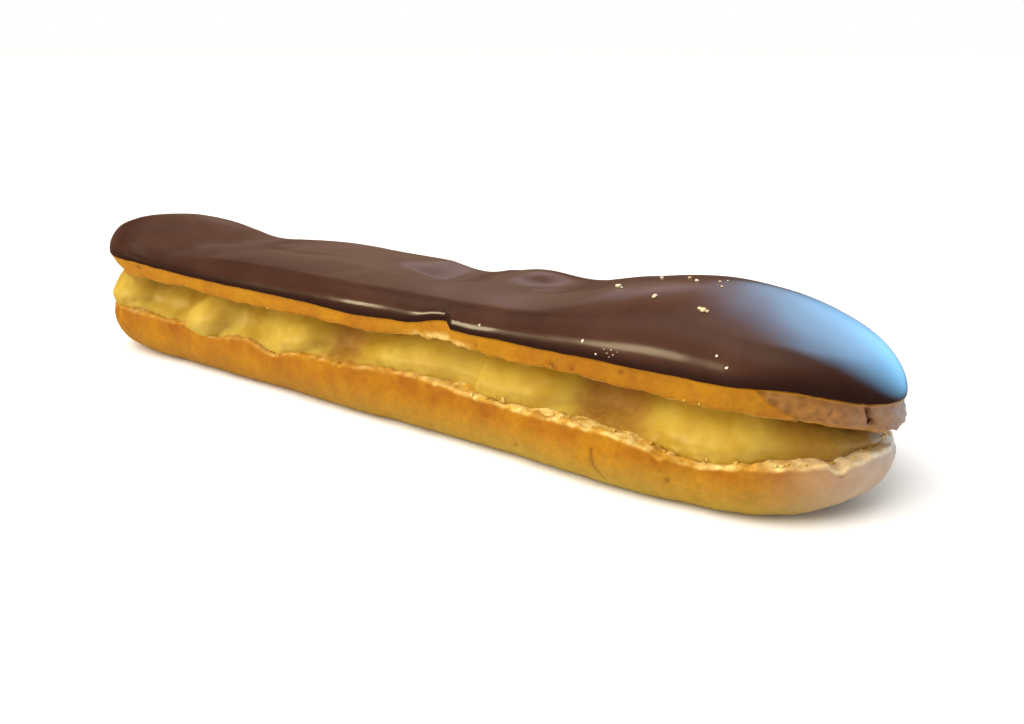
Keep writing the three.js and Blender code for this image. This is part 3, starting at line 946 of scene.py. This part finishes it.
# chocolate icing over the dome
icingPlan = {
    "power": 2.1,
    "fall": (0.62, 0.2),  # roundness of the dome, and how much more at the far end
    "rimHeight": 0.5,
    "thickRim": (-2, 0.9, 12),  # place, height and half length of the thickest rim
    "shoulder": 3.0,  # height of the rounded shoulder above the rim
    "shoulderReach": 3.6,  # how far in from the edge the shoulder runs
    "ridge": [(58, 5.5, 19), (83, 1.6, 9), (41, 0.5, 7), (-20, 0.3, 14), (-57, -1.9, 12), (-80, 5.7, 10)],
    "backDips": [(27, -1.0, 7), (2, -2.4, 8.5), (-30, -0.9, 38)],  # behind the front shoulder only
    "backFrom": (-7.0, 4.0),
    "mound": (21, 10, 1.7, 7),  # x, y, height and radius of the swell behind the ridge
    "flatEnds": (0.6, 0.7),  # how much of the shoulder the near and the far end lose
    "notchFade": 0.3,  # share of the shoulder over which the notch fades out
    "waver": 0.16,
    "edgeGrain": 0.06,
    "shoulderMost": 0.85,  # share of the height under the ridge that the shoulder may take
    "underMiddle": 21.5,  # height of the hidden underside along the spine
    "underOuter": [(5.0, 1.4), (0.7, 0.1)],  # its outer part: distance in and height over the edge
    "lip": (0.15, 0.02, 0.2),  # width, sag and height of the rounded lower edge
    "paintedRimShade": (0.2, 2.4, 4.5),  # heights over which the painted shade on the rim fades, and how much more at the near end
    "domeSteps": 64,
}


def ridgeAt(points):
    height = np.full(points.shape[:-1], bun["ridge"])
    for centre, rise, reach in icingPlan["ridge"]:
        height += rise * np.exp(-((points[..., 0] - centre) / reach) ** 2)
    behind = easeStep(points[..., 1], *icingPlan["backFrom"])
    for centre, rise, reach in icingPlan["backDips"]:
        height += behind * rise * np.exp(-((points[..., 0] - centre) / reach) ** 2)
    x, y, rise, reach = icingPlan["mound"]
    away = np.hypot(points[..., 0] - x, points[..., 1] - y) / reach
    return height + rise * np.exp(-away ** 2)


def makeIcing():
    plan = icingPlan
    lid = layers["lid"]
    outer = lid + layers["overhang"]
    zero = 0 * lid
    edge = layers["icingEdge"] + plan["waver"] * fractal(edgePoints, 7.0, 2, 41)
    level = layers["icingEdge"] - layers["notch"]
    raised = (edge - level)[:, None]  # the notch and waver fade out over the shoulder
    crown = level + plan["rimHeight"] + swellAt(place, [plan["thickRim"]])
    edge = edge + plan["edgeGrain"] * fractal(edgePoints, 1.8, 2, 42)
    underInner, underOuter = ((lid - inward, edge + up) for inward, up in plan["underOuter"])
    lipIn, lipSag, lipHigh = plan["lip"]
    lipFoot = (outer - lipIn, edge - lipSag)
    lipHead = (outer, edge + lipHigh)
    section = Profile(len(place))
    section.line((zero, zero + plan["underMiddle"]), underInner, 3, "hidden")
    section.line(underInner, underOuter, 4, "hidden")
    section.line(underOuter, lipFoot, 4, "rim")
    section.oval(lipFoot, lipHead, 4, "rim")
    section.line(lipHead, (outer, crown + edge - level), 3, "rim")
    reach, height, _ = section.arrays()
    domeSteps = plan["domeSteps"]
    share = np.cos(0.5 * math.pi * np.arange(domeSteps + 1) / domeSteps)[None, :]
    share[0, -1] = 0.0
    domeReach = outer[:, None] * share
    flat = surfacePoints(walk, domeReach, np.zeros_like(domeReach))
    top = ridgeAt(flat) + plan["waver"] * fractal(flat, 11.0, 2, 43)
    room = top - crown[:, None]
    nearEnd = swellAt(place, swells["nearEnd"])[:, None]
    farEnd = swellAt(place, swells["farEnd"])[:, None]
    nearFlat, farFlat = plan["flatEnds"]
    shoulder = np.minimum(plan["shoulder"], plan["shoulderMost"] * room)
    shoulder = shoulder * (1 - nearFlat * nearEnd - farFlat * farEnd)
    inFromEdge = np.clip(outer[:, None] * (1 - share) / plan["shoulderReach"], 0, 1)
    roundUp = np.sqrt(1 - (1 - inFromEdge) ** 2)
    fall, farFall = plan["fall"]
    dome = (1 - share ** plan["power"]) ** (fall + farFall * farEnd)
    domeHeight = crown[:, None] + shoulder * roundUp + (room - shoulder) * dome
    domeHeight += raised * (1 - easeStep(inFromEdge, 0, plan["notchFade"]))
    reach = np.concatenate([reach, domeReach], 1)
    height = np.concatenate([height, domeHeight], 1)
    points = surfacePoints(walk, reach, height)
    # painted shade: the icing darkens towards its lower edge, further up at the near end
    rimLow, rimHigh, rimNear = plan["paintedRimShade"]
    paintedRimShadeMask = 1 - easeStep(points[..., 2] - edge[:, None], rimLow, rimHigh + rimNear * nearEnd)
    piece = meshFromGrid("chocolateIcing", points, {"rim": paintedRimShadeMask})
    piece.data.materials.append(chocolate)
    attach(piece, "root")
    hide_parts("chocolate_icing")
    return piece


chocolateIcing = makeIcing()
print("icing:", len(chocolateIcing.data.polygons), "faces")


# camera at the photo's viewing angle
cameraPlan = {
    "target": (0.018106, 0.000344, 0.01045),
    "azimuth": 34.9,
    "elevation": 18.0,
    "distance": 0.18176,
    "lens": 35.156,
    "sensor": 36.0,
    "clipStart": 0.01,
    "size": (1024, 724),
}


def directionAt(azimuth, elevation):
    turn, rise = math.radians(azimuth), math.radians(elevation)
    return Vector((math.sin(turn) * math.cos(rise), -math.cos(turn) * math.cos(rise), math.sin(rise)))


def makeCamera():
    data = bpy.data.cameras.new("photoCamera")
    data.lens = cameraPlan["lens"]
    data.sensor_width = cameraPlan["sensor"]
    data.clip_start = cameraPlan["clipStart"]
    camera = bpy.data.objects.new("photoCamera", data)
    back = directionAt(cameraPlan["azimuth"], cameraPlan["elevation"])
    camera.location = Vector(cameraPlan["target"]) + back * cameraPlan["distance"]
    camera.rotation_euler = back.to_track_quat("Z", "Y").to_euler()
    bpy.context.scene.collection.objects.link(camera)
    bpy.context.scene.camera = camera
    return camera


photoCamera = makeCamera()


# crumbs: loose bits on the icing and torn bits along the cut edges
crumbPlan = {
    # pixel across, pixel down, size in millimetres
    "onIcing": [
        (619, 287, 0.95), (622, 288, 0.5), (655, 297, 0.85), (703, 311, 1.15), (700, 309, 0.6),
        (707, 312, 0.7), (480, 325, 0.55), (583, 341, 0.5), (596, 354, 0.45), (604, 349, 0.2),
        (607, 353, 0.18), (611, 350, 0.2), (613, 355, 0.2), (617, 352, 0.18), (609, 357, 0.16),
        (717, 356, 0.4), (727, 368, 0.5), (662, 278, 0.5), (690, 278, 0.5), (697, 281, 0.6),
        (720, 282, 0.45), (722, 287, 0.4), (728, 281, 0.35),
    ],
    "rimCount": 70,
    "rimSize": (0.25, 0.75),
    "rimSlope": 0.7,  # rays for the rim come in from above
    "rimLeast": 0.12,  # crumbs are fewer away from the near half of the front
    "rimAlong": (15, 30, tip, tip + 20),
    "lidCount": 40,
    "lidSize": (0.18, 0.45),
    "lidLeast": 0.06,
    "lidLift": 0.4,
    "startOut": 24.0,  # how far outside the spine the rays start
    "startSpread": (-0.5, 0.6),
    "wallOut": 7.0,  # how far in from its start a sloping ray meets the edge
    "standOff": 0.2,  # share of its size that a crumb's middle stands off its seat
    "rough": 0.38,
    "stretch": [(0.7, 1.35), (0.6, 1.1), (0.45, 0.75)],  # least and most along, across and up
    "seed": 7,
}


def pixelRay(pixelX, pixelY):
    width, height = cameraPlan["size"]
    focal = cameraPlan["lens"] / cameraPlan["sensor"] * width
    ray = Vector(((pixelX - width / 2) / focal, (height / 2 - pixelY) / focal, -1))
    bpy.context.view_layer.update()
    return photoCamera.location, (photoCamera.rotation_euler.to_matrix() @ ray).normalized()


def treeOf(*pieces):
    verts, faces = [], []
    for piece in pieces:
        offset = len(verts)
        verts += [v.co.copy() for v in piece.data.vertices]
        faces += [[offset + i for i in p.vertices] for p in piece.data.polygons]
    return BVHTree.FromPolygons(verts, faces)


def crumbShape():
    ball = bmesh.new()
    bmesh.ops.create_icosphere(ball, subdivisions=2, radius=1.0)
    verts = np.array([v.co[:] for v in ball.verts])
    faces = [[v.index for v in f.verts] for f in ball.faces]
    ball.free()
    return verts, faces


def joinCrumbs(name, seats, dice, material):
    # each seat is a spot, the way up there and a size in millimetres
    ball, ballFaces = crumbShape()
    verts, faces = [], []
    for k, (spot, up, size) in enumerate(seats):
        stretch = np.array([dice.uniform(*limits) for limits in crumbPlan["stretch"]])
        rough = 1 + crumbPlan["rough"] * fractal(ball, 0.9, 2, 50 + 0.37 * k)
        shape = ball * rough[:, None] * stretch * (0.5 * size * mm)
        turn = up.to_track_quat("Z", "Y").to_matrix() @ Matrix.Rotation(dice.uniform(0, 6.28), 3, "Z")
        seat = np.array(spot) + np.array(up) * (crumbPlan["standOff"] * size * mm)
        faces += [[len(verts) + i for i in face] for face in ballFaces]
        verts += (shape @ np.array(turn).T + seat).tolist()
    mesh = bpy.data.meshes.new(name)
    mesh.from_pydata(verts, [], faces)
    layer = mesh.attributes.new("torn", "FLOAT", "POINT")
    layer.data.foreach_set("value", np.ones(len(verts), dtype=np.float32))
    mesh.polygons.foreach_set("use_smooth", np.ones(len(faces), dtype=bool))
    piece = bpy.data.objects.new(name, mesh)
    bpy.context.scene.collection.objects.link(piece)
    piece.data.materials.append(material)
    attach(piece, "root")
    return piece


def seatsAtPixels(marks, tree):
    seats = []
    for pixelX, pixelY, size in marks:
        spot, up, _, _ = tree.ray_cast(*pixelRay(pixelX, pixelY))
        if spot is not None:
            seats.append((spot, up, size))
    return seats


def seatsAlongEdge(count, tree, startHeight, slope, dice, sizes, pick):
    # rays come in from outside along the outline, so every crumb lands on what carries it
    seats = []
    while len(seats) < count:
        k = int(dice.integers(0, len(place)))
        if dice.uniform() > pick[k]:
            continue
        out = np.array([walk["outX"][k], walk["outY"][k], 0])
        spine = np.array([walk["x"][k] - bun["middle"][0], -bun["middle"][1], 0])
        lift = startHeight[k] + dice.uniform(*crumbPlan["startSpread"]) + slope * crumbPlan["wallOut"]
        start = spine + out * crumbPlan["startOut"] + np.array([0, 0, lift])
        spot, up, _, _ = tree.ray_cast(Vector(start * mm), Vector(-out - np.array([0, 0, slope])))
        if spot is not None:
            seats.append((spot, up, dice.uniform(*sizes)))
    return seats


def makeCrumbs():
    plan = crumbPlan
    dice = np.random.default_rng(plan["seed"])
    joinCrumbs("icingCrumbs", seatsAtPixels(plan["onIcing"], treeOf(chocolateIcing)), dice, paleCrumb)
    filling = treeOf(custardFilling, bottomShell, topShell)
    rimPick = plan["rimLeast"] + (1 - plan["rimLeast"]) * stretchShare(*plan["rimAlong"])
    seats = seatsAlongEdge(plan["rimCount"], filling, layers["rim"], plan["rimSlope"], dice,
                           plan["rimSize"], rimPick)
    lidPick = plan["lidLeast"] + chippedShare()
    lidHeight = layers["lidEdge"] + plan["lidLift"]
    seats += seatsAlongEdge(plan["lidCount"], filling, lidHeight, 0.0, dice, plan["lidSize"], lidPick)
    joinCrumbs("edgeCrumbs", seats, dice, lowerCrust)


makeCrumbs()
print("crumbs placed")


# pale floor, soft studio light
studio = {
    "floorSize": 6.0,
    "floor": srgb(254, 254, 255),
    "floorSpeck": ((0.8, 0.8, 0.8, 1.0), 0.04, 40.0),  # colour, share and scale
    "floorRoughness": 0.8,
    "floorSpecular": 0.2,
    "backdrop": (1.0, 1.0, 1.0, 1.0),
    "room": (1.0, 0.88, 0.76, 1.0),
    "roomStrength": 0.14,
    "mirrored": (0.18, 0.10, 0.07, 1.0),  # the room as the glossy surfaces see it
    # soft glows in that mirrored room: azimuth, elevation, full and faded angle, radiance, colour
    "glows": [
        (172.0, 50.0, 6.0, 30.0, 0.9, (0.42, 0.62, 1.0)),
        (-168.0, 42.0, 8.0, 40.0, 0.6, (1.0, 0.55, 0.35)),
        (-148.0, 24.0, 2.0, 10.0, 0.55, (0.86, 0.83, 1.0)),
        (-139.0, 13.0, 4.0, 16.0, 0.25, (1.0, 0.75, 0.57)),
        (0.0, 85.0, 15.0, 50.0, 0.75, (0.95, 1.0, 0.85)),
    ],
    # a soft window close behind the near end, seen only in reflections
    "window": {
        "at": (0.1375, 0.0937, 0.0804),
        "azimuth": 165.0,
        "elevation": 22.0,
        "width": 0.32,
        "height": 0.29,
        "radiance": 9.7,
        "colour": (0.21, 0.61, 1.0),
    },
    "skylight": {
        "azimuth": -28.0,
        "elevation": 58.0,
        "angle": 60.0,
        "strength": 3.6,
        "colour": (1.0, 0.98, 0.95),
    },
    # name, azimuth from the front, elevation, width and height in degrees, radiance, colour
    "lamps": [
        ("warmStripNear", -26.6, 16.0, 6.4, 12.0, 18.0, (1.0, 0.84, 0.52)),
        ("warmStripFar", -40.5, 9.0, 4.4, 16.0, 33.0, (1.0, 0.84, 0.52)),
        ("frontFill", -22.0, 22.0, 60.0, 26.0, 1.3, (1.0, 0.90, 0.72)),
        ("backFill", 190.0, 30.0, 70.0, 30.0, 2.3, (1.0, 0.87, 0.68)),
        ("lowRightFill", 112.0, 8.0, 40.0, 14.0, 6.0, (0.76, 0.87, 1.0)),
    ],
    "unseen": ["lowRightFill", "frontFill", "backFill"],  # lights the crust without showing in the icing
    "lampDistance": 2.0,
    "lampAim": (0.02, 0.0, 0.015),
}


def makeFloor():
    size = studio["floorSize"]
    mesh = bpy.data.meshes.new("floor")
    corners = [(-size, -size, 0), (size, -size, 0), (size, size, 0), (-size, size, 0)]
    mesh.from_pydata(corners, [], [(0, 1, 2, 3)])
    floor = bpy.data.objects.new("floor", mesh)
    bpy.context.scene.collection.objects.link(floor)
    material, tree = newMaterial("paleFloor")
    speckTone, speckShare, speckScale = studio["floorSpeck"]
    speck = addNode(tree, "ShaderNodeTexNoise", {"Scale": speckScale, "Detail": 3.0})
    speckled = mathNode(tree, "MULTIPLY", speck.outputs["Fac"], speckShare)
    tone = mixColour(tree, speckled, studio["floor"], speckTone)
    shader = addNode(tree, "ShaderNodeBsdfPrincipled", {"Base Color": tone})
    shader.inputs["Roughness"].default_value = studio["floorRoughness"]
    shader.inputs["Specular IOR Level"].default_value = studio["floorSpecular"]
    addNode(tree, "ShaderNodeOutputMaterial", {"Surface": shader.outputs["BSDF"]})
    floor.data.materials.append(material)
    floor.visible_glossy = False  # keeps the underside of the icing dark, as over a dark table


def makeRoom():
    # dim room for the light, glows for the reflections, pale backdrop where the camera looks past the floor
    world = bpy.data.worlds.new("softRoom")
    world.use_nodes = True
    tree = world.node_tree
    tree.nodes.clear()
    room = addNode(tree, "ShaderNodeBackground",
                   {"Color": studio["room"], "Strength": studio["roomStrength"]})
    backdrop = addNode(tree, "ShaderNodeBackground", {"Color": studio["backdrop"], "Strength": 1.0})
    path = addNode(tree, "ShaderNodeLightPath")
    coords = addNode(tree, "ShaderNodeTexCoord")
    reflected = studio["mirrored"]
    for azimuth, elevation, full, faded, radiance, colour in studio["glows"]:
        toward = addNode(tree, "ShaderNodeVectorMath",
                         {0: coords.outputs["Generated"], 1: directionAt(azimuth, elevation)},
                         operation="DOT_PRODUCT")
        share = addNode(tree, "ShaderNodeMapRange",
                        {"Value": toward.outputs["Value"], "From Min": math.cos(math.radians(faded)),
                         "From Max": math.cos(math.radians(full))},
                        interpolation_type="SMOOTHSTEP")
        bright = tuple(radiance * part for part in colour) + (1.0,)
        reflected = mixColour(tree, share.outputs["Result"], reflected, bright, "ADD")
    mirrored = addNode(tree, "ShaderNodeBackground", {"Color": reflected, "Strength": 1.0})
    seen = addNode(tree, "ShaderNodeMixShader",
                   {0: path.outputs["Is Glossy Ray"], 1: room.outputs[0], 2: mirrored.outputs[0]})
    pick = addNode(tree, "ShaderNodeMixShader",
                   {0: path.outputs["Is Camera Ray"], 1: seen.outputs[0], 2: backdrop.outputs[0]})
    addNode(tree, "ShaderNodeOutputWorld", {"Surface": pick.outputs[0]})
    bpy.context.scene.world = world


def fadeToEdges(data):
    # the lamp is brightest in its middle and fades out before its edges
    data.use_nodes = True
    tree = data.node_tree
    tree.nodes.clear()
    across = addNode(tree, "ShaderNodeNewGeometry").outputs["Parametric"]
    fromMiddle = addNode(tree, "ShaderNodeVectorMath", {0: across, 1: (0.5, 0.5, 0.0)}, operation="DISTANCE")
    share = addNode(tree, "ShaderNodeMapRange",
                    {"Value": fromMiddle.outputs["Value"], "From Min": 0.5, "From Max": 0.0},
                    interpolation_type="SMOOTHSTEP")
    glow = addNode(tree, "ShaderNodeEmission", {"Strength": share.outputs["Result"]})
    addNode(tree, "ShaderNodeOutputLight", {"Surface": glow.outputs["Emission"]})


def hangLamp(name, spot, out, width, height, radiance, colour):
    data = bpy.data.lights.new(name, "AREA")
    data.shape = "RECTANGLE"
    data.size = width
    data.size_y = height
    data.energy = radiance * math.pi * data.size * data.size_y
    data.color = colour
    lamp = bpy.data.objects.new(name, data)
    lamp.location = spot
    lamp.rotation_euler = out.to_track_quat("Z", "Y").to_euler()
    bpy.context.scene.collection.objects.link(lamp)
    return lamp


def makeWindow():
    look = studio["window"]
    out = directionAt(look["azimuth"], look["elevation"])
    size = look["width"], look["height"]
    lamp = hangLamp("window", look["at"], out, *size, look["radiance"], look["colour"])
    fadeToEdges(lamp.data)
    lamp.visible_camera = False
    lamp.visible_diffuse = False


def makeSkylight():
    sky = studio["skylight"]
    data = bpy.data.lights.new("skylight", "SUN")
    data.energy = sky["strength"]
    data.angle = math.radians(sky["angle"])
    data.color = sky["colour"]
    lamp = bpy.data.objects.new("skylight", data)
    lamp.rotation_euler = directionAt(sky["azimuth"], sky["elevation"]).to_track_quat("Z", "Y").to_euler()
    lamp.visible_glossy = False  # lights the room without showing in the icing
    bpy.context.scene.collection.objects.link(lamp)


def makeLamps():
    distance = studio["lampDistance"]
    for name, azimuth, elevation, wide, tall, radiance, colour in studio["lamps"]:
        out = directionAt(azimuth, elevation)
        width, height = (2 * distance * math.tan(math.radians(angle) / 2) for angle in (wide, tall))
        spot = Vector(studio["lampAim"]) + out * distance
        lamp = hangLamp(name, spot, out, width, height, radiance, colour)
        lamp.visible_glossy = name not in studio["unseen"]


makeFloor()
makeRoom()
makeWindow()
makeSkylight()
makeLamps()
bpy.context.scene.view_settings.view_transform = "Standard"
print("studio ready")
